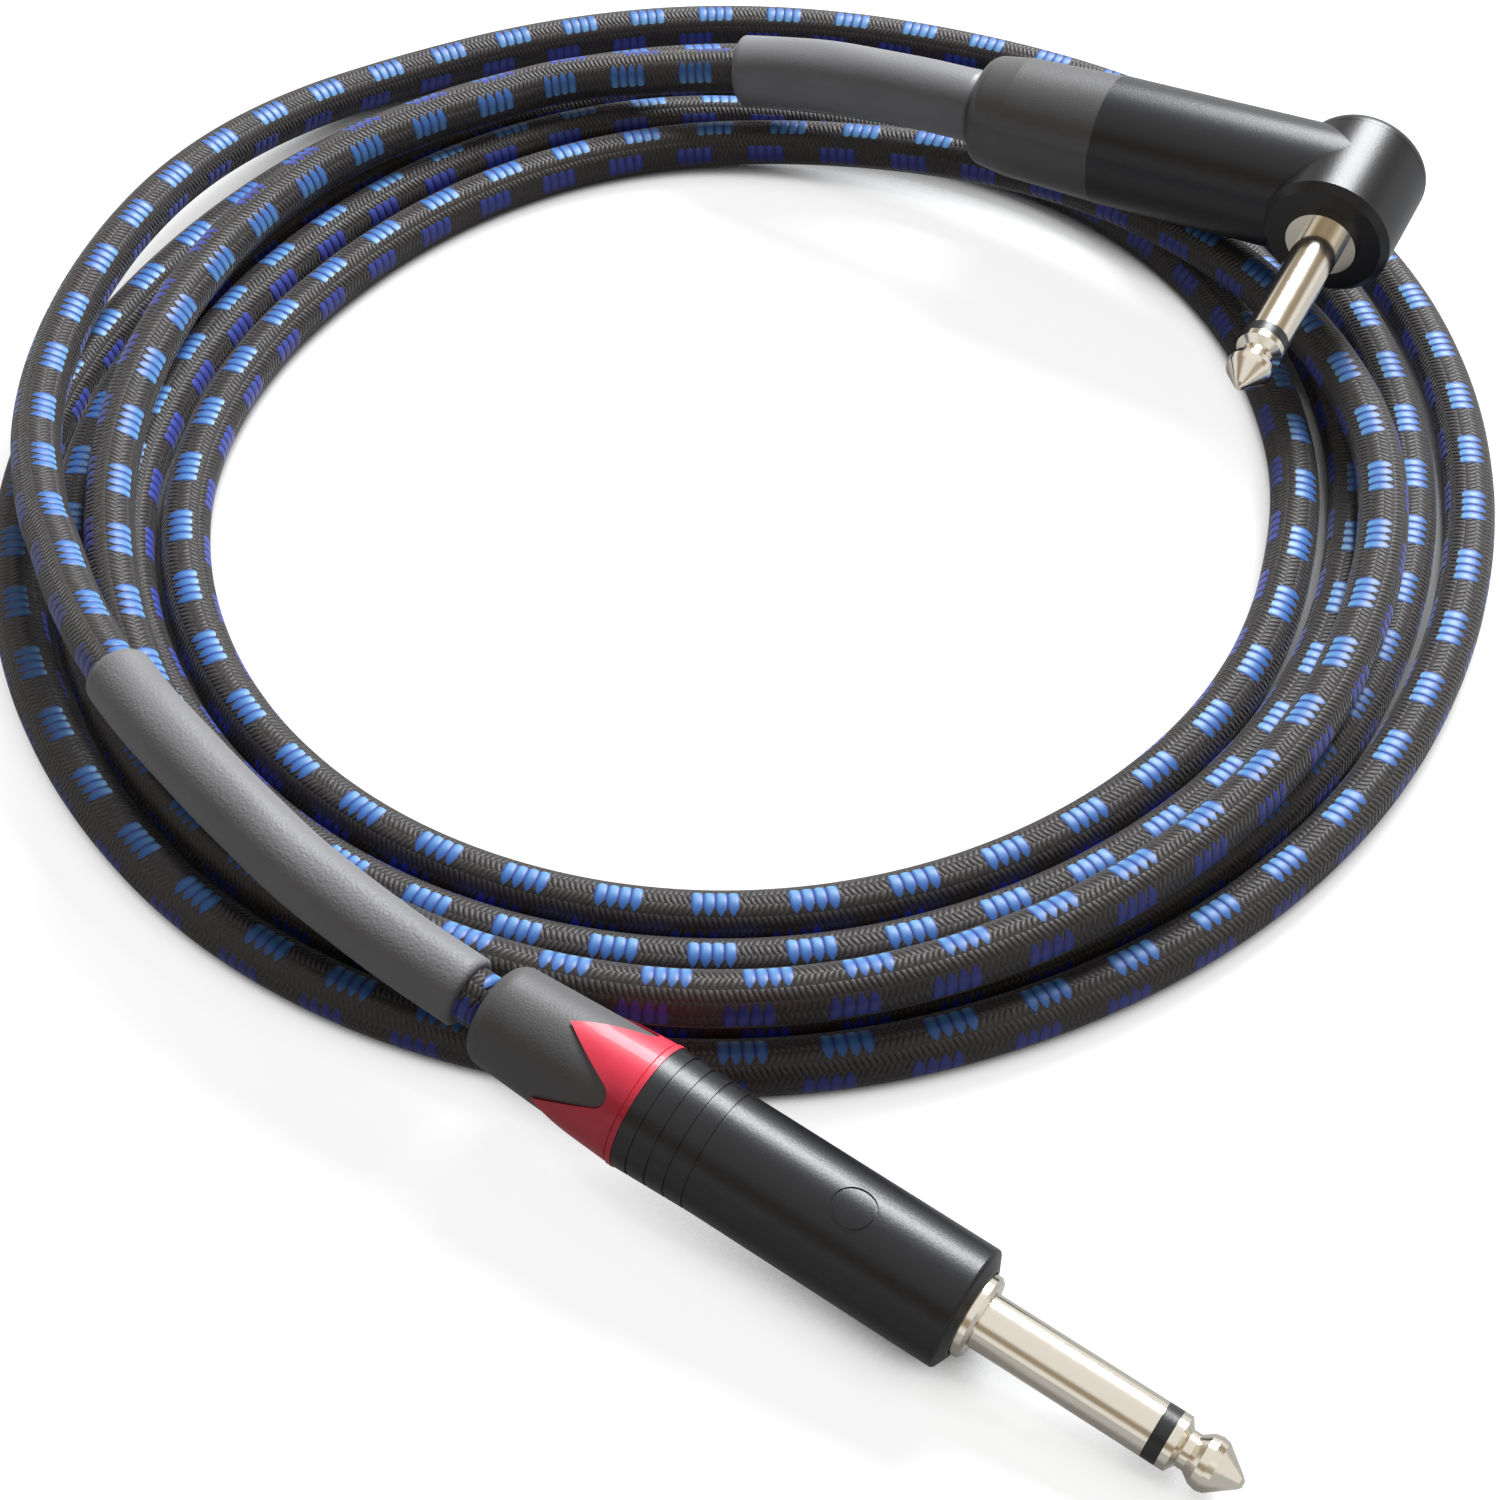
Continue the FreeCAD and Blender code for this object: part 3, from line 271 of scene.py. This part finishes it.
def tubeAlong(name, path, rings, sides, period, starts=None, swell=None):
    # rings are (distance along the path, radius) in metres, and starts the (angle, slip) of each ring;
    # the UV map holds length and place round
    starts = starts or [(0, 0)] * len(rings)
    skin = bmesh.new()
    weave = skin.loops.layers.uv.new("weave")
    rows = []
    for ring, (distance, radius) in enumerate(rings):
        place, along, outward, upward = path.frameAt(distance)
        row = []
        for index in range(sides):
            angle = starts[ring][0] - 2 * pi * index / sides
            grown = radius + (swell(distance, angle) if swell else 0)
            row.append(skin.verts.new(place + (outward * cos(angle) + upward * sin(angle)) * grown))
        rows.append(row)
    for ring in range(len(rows) - 1):
        start = (rings[ring][0] - starts[ring][1]) / period
        end = (rings[ring + 1][0] - starts[ring + 1][1]) / period
        for index in range(sides):
            following = (index + 1) % sides
            corners = [rows[ring][index], rows[ring][following],
                       rows[ring + 1][following], rows[ring + 1][index]]
            places = [(start, index / sides), (start, (index + 1) / sides),
                      (end, (index + 1) / sides), (end, index / sides)]
            skinFace = skin.faces.new(corners)
            skinFace.smooth = True
            for loop, uv in zip(skinFace.loops, places):
                loop[weave].uv = uv
    for row in (rows[0], rows[-1]):
        skin.faces.new(row)
    bmesh.ops.recalc_face_normals(skin, faces=skin.faces)
    mesh = bpy.data.meshes.new(name)
    skin.to_mesh(mesh)
    skin.free()
    piece = bpy.data.objects.new(name, mesh)
    bpy.context.scene.collection.objects.link(piece)
    return piece


# Braided jacket: dark yarns with facing rows of blue tracer patches, whose colours hold painted highlights and
# painted shade
braid = {
    "rows": 4, "period": 0.01133, "columns": 8, "rowShift": 0.2, "pairShift": 0.5,
    # angle turned along the cord, angle of the first row and slip of its patches in millimetres
    "twist": [
        (0, 160, -3.9), (60, 152, -3.9), (150, 136, -6.5), (193, 135, -7.7), (220, 135, -5.4),
        (240, 134, -3.2), (260, 134, -1.3), (283, 134, 0.7), (330, 134, 1.7), (553, 133, 5.2),
        (700, 133, 3.0), (900, 129, 0.8), (960, 127, 4.4), (1003, 125, 7.0), (1043, 123, 7.4),
        (1128, 119, 11.2), (1273, 113, 7.1), (1303, 118, 8.2), (1335, 126, 9.5), (1363, 130, 11.3),
        (1403, 130, 11.4), (1453, 129, 12.6), (1488, 131, 12.8), (1633, 150, 13.9), (1680, 149, 14.6),
        (1723, 147, 16.0), (1800, 165, 22.2), (1850, 196, 25.9),
    ],
    # a patch: its rounded end, its pointed end and how far each tooth reaches
    "roundEnd": 0.17, "roundBulge": 0.07, "toothEnd": 0.84, "tooth": 0.25, "toothPower": 1.35,
    # painted shade in the gaps between the teeth and down each column's sides, painted highlight on each tooth's
    # crown towards its rounded end
    "gapAcross": 8, "gapAlong": 5, "gapFrom": 0.2, "ridgePower": 3.0, "ridgeFade": 0.6,
    "litFade": 1.5, "litLeast": 0.7, "litUneven": 0.9,
    # the dark yarns, with a painted highlight on the tops of their pillows and painted shade between them; the
    # mottle varies their tone at random
    "grainsAlong": 16, "grainsRound": 14, "grainSlant": 0.35, "grainFall": 0.55, "grainJitter": 0.5,
    "mottleScale": 1300.0, "unevenScale": 260.0, "shadeLeast": 0.3, "mottleGain": 2.2, "mottleFrom": 0.5,
    "black": (0.012, 0.009, 0.008), "blackMottleAndHighlight": (0.06, 0.05, 0.047),
    # blue yarn colours, each with a painted-shade copy and a painted-highlight copy; the royal rows are partly a
    # deeper blue yarn and partly painted shade of the azure rows, on the rows that mostly face away from the light
    "azure": (0.06, 0.25, 0.63), "azurePaintedShade": (0.025, 0.05, 0.36), "azurePaintedHighlight": (0.24, 0.57, 0.87),
    "royalYarnAndShade": (0.045, 0.075, 0.46), "royalPaintedShade": (0.018, 0.016, 0.20), "royalPaintedHighlight": (0.09, 0.14, 0.60),
    "grainHeight": 0.75, "patchHeight": 0.4, "ridgeHeight": 0.8, "depth": 0.0002,
    "roughness": 0.52, "patchSmoother": 0.08, "sheen": 0.25, "sheenRoughness": 0.4,
}
cordPath = Path(splinePath(cordRoute()))
cordRadius = cable["diameter"] / 2 * mm
ringCount = int(cordPath.length / cable["ringStep"])
cordRings = [(cordPath.length * index / ringCount, cordRadius) for index in range(ringCount + 1)]
cord = tubeAlong("braided_cable", cordPath, cordRings, cable["sides"], braid["period"],
                 rowStarts(cordPath, cordRings))
print("cable made, length", round(cordPath.length, 4))


# Shader maths: a value on a socket, and the nodes that it passes through
class Value:
    def __init__(self, finish, socket):
        self.finish = finish
        self.socket = socket

    def __add__(self, other):
        return self.finish.maths("ADD", self, other)

    def __radd__(self, other):
        return self.finish.maths("ADD", other, self)

    def __sub__(self, other):
        return self.finish.maths("SUBTRACT", self, other)

    def __rsub__(self, other):
        return self.finish.maths("SUBTRACT", other, self)

    def __mul__(self, other):
        return self.finish.maths("MULTIPLY", self, other)

    def __rmul__(self, other):
        return self.finish.maths("MULTIPLY", other, self)

    def __pow__(self, other):
        return self.finish.maths("POWER", self, other)

    def __gt__(self, other):
        return self.finish.maths("GREATER_THAN", self, other)

    def __lt__(self, other):
        return self.finish.maths("LESS_THAN", self, other)


class Finish:
    # the nodes of a material or of the world, added by a single method
    def __init__(self, owner, output="ShaderNodeOutputMaterial"):
        self.owner = owner
        self.owner.use_nodes = True
        self.tree = self.owner.node_tree
        self.tree.nodes.clear()
        self.output = self.tree.nodes.new(output)

    def add(self, kind, settings, *inputs, out=0, **named):
        node = self.tree.nodes.new(kind)
        for name, setting in settings.items():
            if name == "stops":
                while len(node.color_ramp.elements) < len(setting):
                    node.color_ramp.elements.new(1)
                for element, (place, colour) in zip(node.color_ramp.elements, setting):
                    element.position = place
                    element.color = (*colour, 1)
            else:
                setattr(node, name, setting)
        wanted = list(enumerate(inputs)) + [(key.replace("_", " "), value) for key, value in named.items()]
        for key, value in wanted:
            if isinstance(value, Value):
                self.tree.links.new(value.socket, node.inputs[key])
            elif value is not None:
                node.inputs[key].default_value = value
        return Value(self, node.outputs[out])

    def maths(self, operation, *values):
        return self.add("ShaderNodeMath", {"operation": operation}, *values)

    def split(self, vector):
        node = self.tree.nodes.new("ShaderNodeSeparateXYZ")
        self.tree.links.new(vector.socket, node.inputs[0])
        return [Value(self, socket) for socket in node.outputs]

    def noise(self, place, scale, detail=2.0):
        return self.add("ShaderNodeTexNoise", {}, Vector=place, Scale=scale, Detail=detail)

    def ramp(self, value, stops):
        return self.add("ShaderNodeValToRGB", {"stops": stops}, value)

    def mix(self, factor, first, second):
        node = self.tree.nodes.new("ShaderNodeMix")
        node.data_type = "RGBA"
        for socket, value in ((node.inputs[0], factor), (node.inputs[6], first), (node.inputs[7], second)):
            if isinstance(value, Value):
                self.tree.links.new(value.socket, socket)
            elif isinstance(value, tuple):
                socket.default_value = (*value, 1)
            else:
                socket.default_value = value
        return Value(self, node.outputs[2])

    def bump(self, height, depth):
        return self.add("ShaderNodeBump", {}, Height=height, Distance=depth, Strength=1.0)

    def show(self, shader):
        self.tree.links.new(shader.socket, self.output.inputs["Surface"])
        return self.owner

    def surface(self, **inputs):
        inputs = {key: ((*value, 1) if isinstance(value, tuple) else value) for key, value in inputs.items()}
        return self.show(self.add("ShaderNodeBsdfPrincipled", {}, **inputs))


def braidFinish(name):
    finish = Finish(bpy.data.materials.new(name))
    along, roundCord = finish.split(finish.add("ShaderNodeUVMap", {"uv_map": "weave"}))[:2]
    rowPlace = roundCord * braid["rows"]
    row = finish.maths("FLOOR", rowPlace)
    across = rowPlace - row
    odd = finish.maths("MODULO", row, 2.0)
    pair = finish.maths("FLOOR", row * 0.5)
    facing = across + odd * (1 - 2 * across)
    place = finish.maths("FRACT", along - pair * braid["pairShift"] - odd * braid["rowShift"])
    column = finish.maths("FRACT", place * braid["columns"])
    fromMiddle = finish.maths("ABSOLUTE", column * 2 - 1)
    # each column of a patch is a tooth: pointed at one end, rounded at the other
    toothEnd = braid["toothEnd"] - braid["tooth"] * fromMiddle ** braid["toothPower"]
    roundEnd = braid["roundEnd"] + braid["roundBulge"] * fromMiddle * fromMiddle
    patch = (place < 0.5) * (facing < toothEnd) * (facing > roundEnd)
    # painted shade in the gaps between the teeth, at their pointed ends and down each column's sides
    gapPlace = (toothEnd - facing) * braid["gapAcross"] + braid["gapAlong"] * (1 - fromMiddle)
    gap = finish.add("ShaderNodeClamp", {}, gapPlace - braid["gapFrom"])
    # small pillows of the dark yarns, each row slanting the other way
    grainRow = roundCord * braid["grainsRound"]
    grainRowFloor = finish.maths("FLOOR", grainRow)
    grainAcross = (grainRow - grainRowFloor) * 2 - 1
    grainOdd = finish.maths("MODULO", grainRowFloor, 2.0)
    spot = finish.add("ShaderNodeTexCoord", {}, out="Object")
    mottle = finish.noise(spot, braid["mottleScale"])
    uneven = finish.noise(spot, braid["unevenScale"])
    slant = grainOdd * (2 * braid["grainSlant"]) - braid["grainSlant"]
    grainPlace = along * braid["grainsAlong"] + grainOdd * 0.5 + grainAcross * slant
    grainPlace = grainPlace + braid["grainJitter"] * (mottle - 0.5)
    grainAlong = finish.maths("FRACT", grainPlace) * 2 - 1
    grain = (1 - grainAlong * grainAlong) * (1 - braid["grainFall"] * grainAcross * grainAcross)
    ridge = (1 - fromMiddle ** braid["ridgePower"]) * (1 - braid["ridgeFade"] * facing)
    patchHeight = braid["patchHeight"] + braid["ridgeHeight"] * ridge
    height = grain * (1 - patch) * braid["grainHeight"] + patch * patchHeight
    # painted shade between the pillows and painted highlight on their tops, varied at random by the mottle
    pillowPaintedShade = braid["shadeLeast"] + (1 - braid["shadeLeast"]) * grain
    mottled = braid["mottleGain"] * mottle - braid["mottleFrom"]
    darkYarnWithPaintedShade = finish.mix(pillowPaintedShade * mottled, braid["black"], braid["blackMottleAndHighlight"])
    # painted highlight on each tooth's crown, strongest towards its rounded end; the low sides of each column take
    # painted shade through the ridge
    crownPaintedHighlight = (1 - fromMiddle * fromMiddle) * (1 - braid["litFade"] * facing)
    crownPaintedHighlight = crownPaintedHighlight * (braid["litLeast"] + braid["litUneven"] * uneven)
    azure = finish.mix(ridge, braid["azurePaintedShade"], finish.mix(crownPaintedHighlight, braid["azure"], braid["azurePaintedHighlight"]))
    royalYarnAndShade = finish.mix(ridge, braid["royalPaintedShade"], finish.mix(crownPaintedHighlight, braid["royalYarnAndShade"], braid["royalPaintedHighlight"]))
    # the gaps between teeth take painted shade, and the odd rows are partly royal yarn and partly painted shade of
    # the azure
    blueWithPaintedShade = finish.mix(gap, braid["royalPaintedShade"], finish.mix(odd, azure, royalYarnAndShade))
    return finish.surface(
        Base_Color=finish.mix(patch, darkYarnWithPaintedShade, blueWithPaintedShade),
        Roughness=braid["roughness"] - braid["patchSmoother"] * patch,
        Sheen_Weight=braid["sheen"], Sheen_Roughness=braid["sheenRoughness"],
        Normal=finish.bump(height, braid["depth"]))


cord.data.materials.append(braidFinish("braidedJacket"))


# Plain finishes, each with a fine relief and a little unevenness
rubber = {
    "grainScale": 2600.0, "broadScale": 90.0, "darker": 0.85, "lighter": 1.15, "uneven": 0.12, "depth": 0.00002,
}
metal = {
    "grainScale": 1400.0, "broadScale": 60.0, "darker": 0.92, "lighter": 1.0, "uneven": 0.08, "depth": 0.000004,
}


def plainFinish(name, relief, colour, roughness, shader, **changes):
    relief = {**relief, **changes}
    finish = Finish(bpy.data.materials.new(name))
    place = finish.add("ShaderNodeTexCoord", {}, out="Object")
    fine = finish.noise(place, relief["grainScale"], 3.0)
    broad = finish.noise(place, relief["broadScale"], 2.0)
    shades = [tuple(part * relief[end] for part in colour) for end in ("darker", "lighter")]
    return finish.surface(
        Base_Color=finish.mix(broad, *shades), Roughness=roughness + relief["uneven"] * (fine - 0.5),
        Normal=finish.bump(fine, relief["depth"]), **shader)


def rubberFinish(name, colour, roughness, coat=0.0, specular=0.5, **changes):
    shader = {"Coat_Weight": coat, "Specular_IOR_Level": specular}
    return plainFinish(name, rubber, colour, roughness, shader, **changes)


def metalFinish(name, colour, roughness):
    return plainFinish(name, metal, colour, roughness, {"Metallic": 1.0})


finishes = {
    "grey_sleeve": rubberFinish("greySleeve", (0.25, 0.243, 0.25), 0.5, grainScale=2400.0, depth=0.0001),
    "dark_sleeve": rubberFinish("darkSleeve", (0.25, 0.246, 0.255), 0.42, grainScale=2400.0, depth=0.00004),
    "grey_bushing": rubberFinish("greyBushing", (0.125, 0.12, 0.12), 0.5, grainScale=3400.0, depth=0.00005),
    "dark_bushing": rubberFinish("darkBushing", (0.085, 0.082, 0.083), 0.45, coat=0.1, specular=0.6,
                                 grainScale=4200.0, depth=0.00003),
    "red_crown": rubberFinish("redCrown", (0.95, 0.04, 0.085), 0.42, coat=0.15, grainScale=3000.0, depth=0.00001),
    "black_shell": rubberFinish("blackShell", (0.009, 0.009, 0.011), 0.34, specular=0.45,
                                grainScale=3000.0, depth=0.000015),
    "chuck": rubberFinish("chuckPlastic", (0.3, 0.3, 0.3), 0.5),
    "core_insulation": rubberFinish("coreInsulation", (0.75, 0.75, 0.7), 0.5),
    "contact_carrier": rubberFinish("carrierPlastic", (0.04, 0.04, 0.04), 0.5),
    "circuit_board": rubberFinish("circuitBoard", (0.03, 0.16, 0.06), 0.4),
    "insulator": rubberFinish("insulatorPlastic", (0.02, 0.02, 0.02), 0.35),
    "copper": metalFinish("copperStrands", (0.8, 0.42, 0.27), 0.35),
    "earth_contact": metalFinish("tinnedBrass", (0.75, 0.7, 0.55), 0.3),
    "nickel": metalFinish("nickelPlate", (0.84, 0.78, 0.67), 0.16),
    "magnet": metalFinish("magnetPlate", (0.5, 0.5, 0.5), 0.3),
    "spring_steel": metalFinish("springSteel", (0.6, 0.6, 0.6), 0.3),
    "reed_glass": rubberFinish("reedGlass", (0.45, 0.6, 0.5), 0.1),
    "braided_jacket": rubberFinish("jacketEnd", (0.02, 0.018, 0.017), 0.6),
}
slots = {part["node"]: part["material_slot"] for part in frame["record"]["subparts"]}
for name, node in nodes.items():
    node.data.materials.clear()
    node.data.materials.append(finishes[slots[name]])
print("finishes made")


# Shrink sleeves, which follow the cord and replace their plain solids, in metres; the waves are their slight dents
sleeve = {
    "clearance": 0.00003, "chamfer": 0.0004, "ringStep": 0.0012, "sides": 48,
    "waveAlong": 310, "waveSwing": 2.1, "waveTwist": 95,
}


def shrinkSleeve(name, start, end, radius, wall, waves):
    inner = cordRadius + sleeve["clearance"]
    chamfer = sleeve["chamfer"]
    rings = [(start, inner), (start, radius - wall * 0.5), (start + chamfer, radius)]
    count = int((end - start) / sleeve["ringStep"])
    for index in range(1, count):
        rings.append((start + (end - start) * index / count, radius))
    rings += [(end - chamfer, radius), (end, radius - wall * 0.5), (end, inner)]

    def swell(distance, angle):
        swing = sleeve["waveSwing"] * sin(angle * 2)
        return waves * sin(distance * sleeve["waveAlong"] + swing) * sin(angle + distance * sleeve["waveTwist"])

    return tubeAlong(name, cordPath, rings, sleeve["sides"], braid["period"], swell=swell)


straightSleeve = shrinkSleeve("straightSleeve", start=0.003, end=0.0665,
                              radius=0.00425, wall=0.0008, waves=0.00004)
angleSleeve = shrinkSleeve("angleSleeve", start=cordPath.length - 0.0395, end=cordPath.length - 0.0003,
                           radius=0.0052, wall=0.001, waves=0.00005)
straightSleeve.data.materials.append(finishes["grey_sleeve"])
angleSleeve.data.materials.append(finishes["dark_sleeve"])
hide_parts("straight_label_sleeve")
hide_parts("angle_label_sleeve")
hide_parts("cable_coil", "straight_plug_lead", "angle_plug_lead")
for piece in (cord, straightSleeve, angleSleeve):
    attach(piece, "cable")
cordPoints = [cordPath.at(cordPath.length * index / cable["samples"]) for index in range(cable["samples"] + 1)]
print("sleeves made")


# Return spring of the muting ring, a copy of its solid; its seat is measured from the plug's rear, and the part it
# would keep as the ring goes in is worked out, but the copy is not shortened
spring = {"seat": 45.0, "travel": 2.2}


def addSpring():
    steel = nodes["muting_ring_spring"]
    piece = bpy.data.objects.new("returnSpring", steel.data.copy())
    bpy.context.scene.collection.objects.link(piece)
    rear = plugs["straightPlace"] * mm
    places = [steel.matrix_world @ vertex.co - rear for vertex in piece.data.vertices]
    front = max(place.dot(plugs["straightAlong"]) for place in places)
    keep = 1 - spring["travel"] * mm / (front - spring["seat"] * mm)
    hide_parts("muting_ring_spring")
    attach(piece, "cable")
    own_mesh(piece)


addSpring()
print("spring made")


# Studio: pale floor, soft lamps; the ramps are (place, colour)
studio = {
    "floorSize": 6.0, "floorHeight": -0.0002, "floorGrey": (0.35, 0.35, 0.35), "floorRoughness": 0.9,
    "floorSeen": 0.88, "floorGloss": 0.2, "contact": 0.009, "room": 0.16, "gloss": 0.76,
    # the shade ramp dims the floor's glow by openness: a painted contact shadow
    "shade": [(0.0, (0, 0, 0)), (0.25, (0.02, 0.02, 0.02)), (0.5, (0.8, 0.8, 0.8)), (0.75, (1, 1, 1))],
    "band": [
        (0.0, (1, 1, 1)), (0.25, (1, 1, 1)), (0.4, (0.4, 0.33, 0.25)), (0.62, (0.4, 0.33, 0.25)),
        (0.75, (1, 1, 1)), (1.0, (1, 1, 1)),
    ],
    "lampColour": (0.94, 0.97, 1.0),
}


def addFloor():
    # the floor glows by itself where the camera sees it; the glow fades close to the cable, a painted contact
    # shadow that also darkens the floor in the gaps between the loops
    bpy.ops.object.select_all(action="DESELECT")
    bpy.ops.mesh.primitive_plane_add(size=studio["floorSize"], location=(0, 0, studio["floorHeight"]))
    ground = bpy.context.object
    ground.name = "studioFloor"
    paper = Finish(bpy.data.materials.new("whitePaper"))
    rays = paper.tree.nodes.new("ShaderNodeLightPath").outputs
    seen = Value(paper, rays["Is Camera Ray"]) * studio["floorSeen"]
    seen = seen + Value(paper, rays["Is Glossy Ray"]) * studio["floorGloss"]
    openness = paper.add("ShaderNodeAmbientOcclusion", {"samples": 8}, Distance=studio["contact"], out=1)
    glow = paper.mix(seen, (0, 0, 0), paper.ramp(openness, studio["shade"]))
    ground.data.materials.append(paper.surface(
        Base_Color=studio["floorGrey"], Roughness=studio["floorRoughness"], Specular_IOR_Level=0.0,
        Emission_Color=glow, Emission_Strength=1.0))


def addRoom():
    # the surroundings: white to the camera; a softer room with a dim band round it to everything else
    world = bpy.data.worlds.new("studioWorld")
    bpy.context.scene.world = world
    room = Finish(world, "ShaderNodeOutputWorld")
    upward = room.split(room.add("ShaderNodeTexCoord", {}, out="Generated"))[2]
    band = room.ramp(upward, studio["band"])
    rays = room.tree.nodes.new("ShaderNodeLightPath").outputs
    seen = Value(room, rays["Is Camera Ray"]) + Value(room, rays["Is Transmission Ray"])
    glossy = Value(room, rays["Is Glossy Ray"])
    strength = studio["room"] + glossy * studio["gloss"] + seen * (1 - studio["room"])
    room.show(room.add("ShaderNodeBackground", {}, room.mix(seen, band, (1, 1, 1)), strength))


def addLamp(name, place, target, size, power):
    place = Vector(place)
    direction = (Vector(target) - place).to_track_quat("-Z", "Y").to_euler()
    bpy.ops.object.light_add(type="AREA", location=place, rotation=direction)
    lamp = bpy.context.object
    lamp.name = name
    lamp.data.size = size
    lamp.data.energy = power
    lamp.data.color = studio["lampColour"]


addFloor()
addRoom()
addLamp("mainLamp", place=(0.36, 0.74, 0.78), target=(0, -0.05, 0), size=0.5, power=21.5)
addLamp("frontLamp", place=(0.4, -1.0, 0.7), target=(0, 0, 0), size=0.8, power=0.25)
print("studio made")
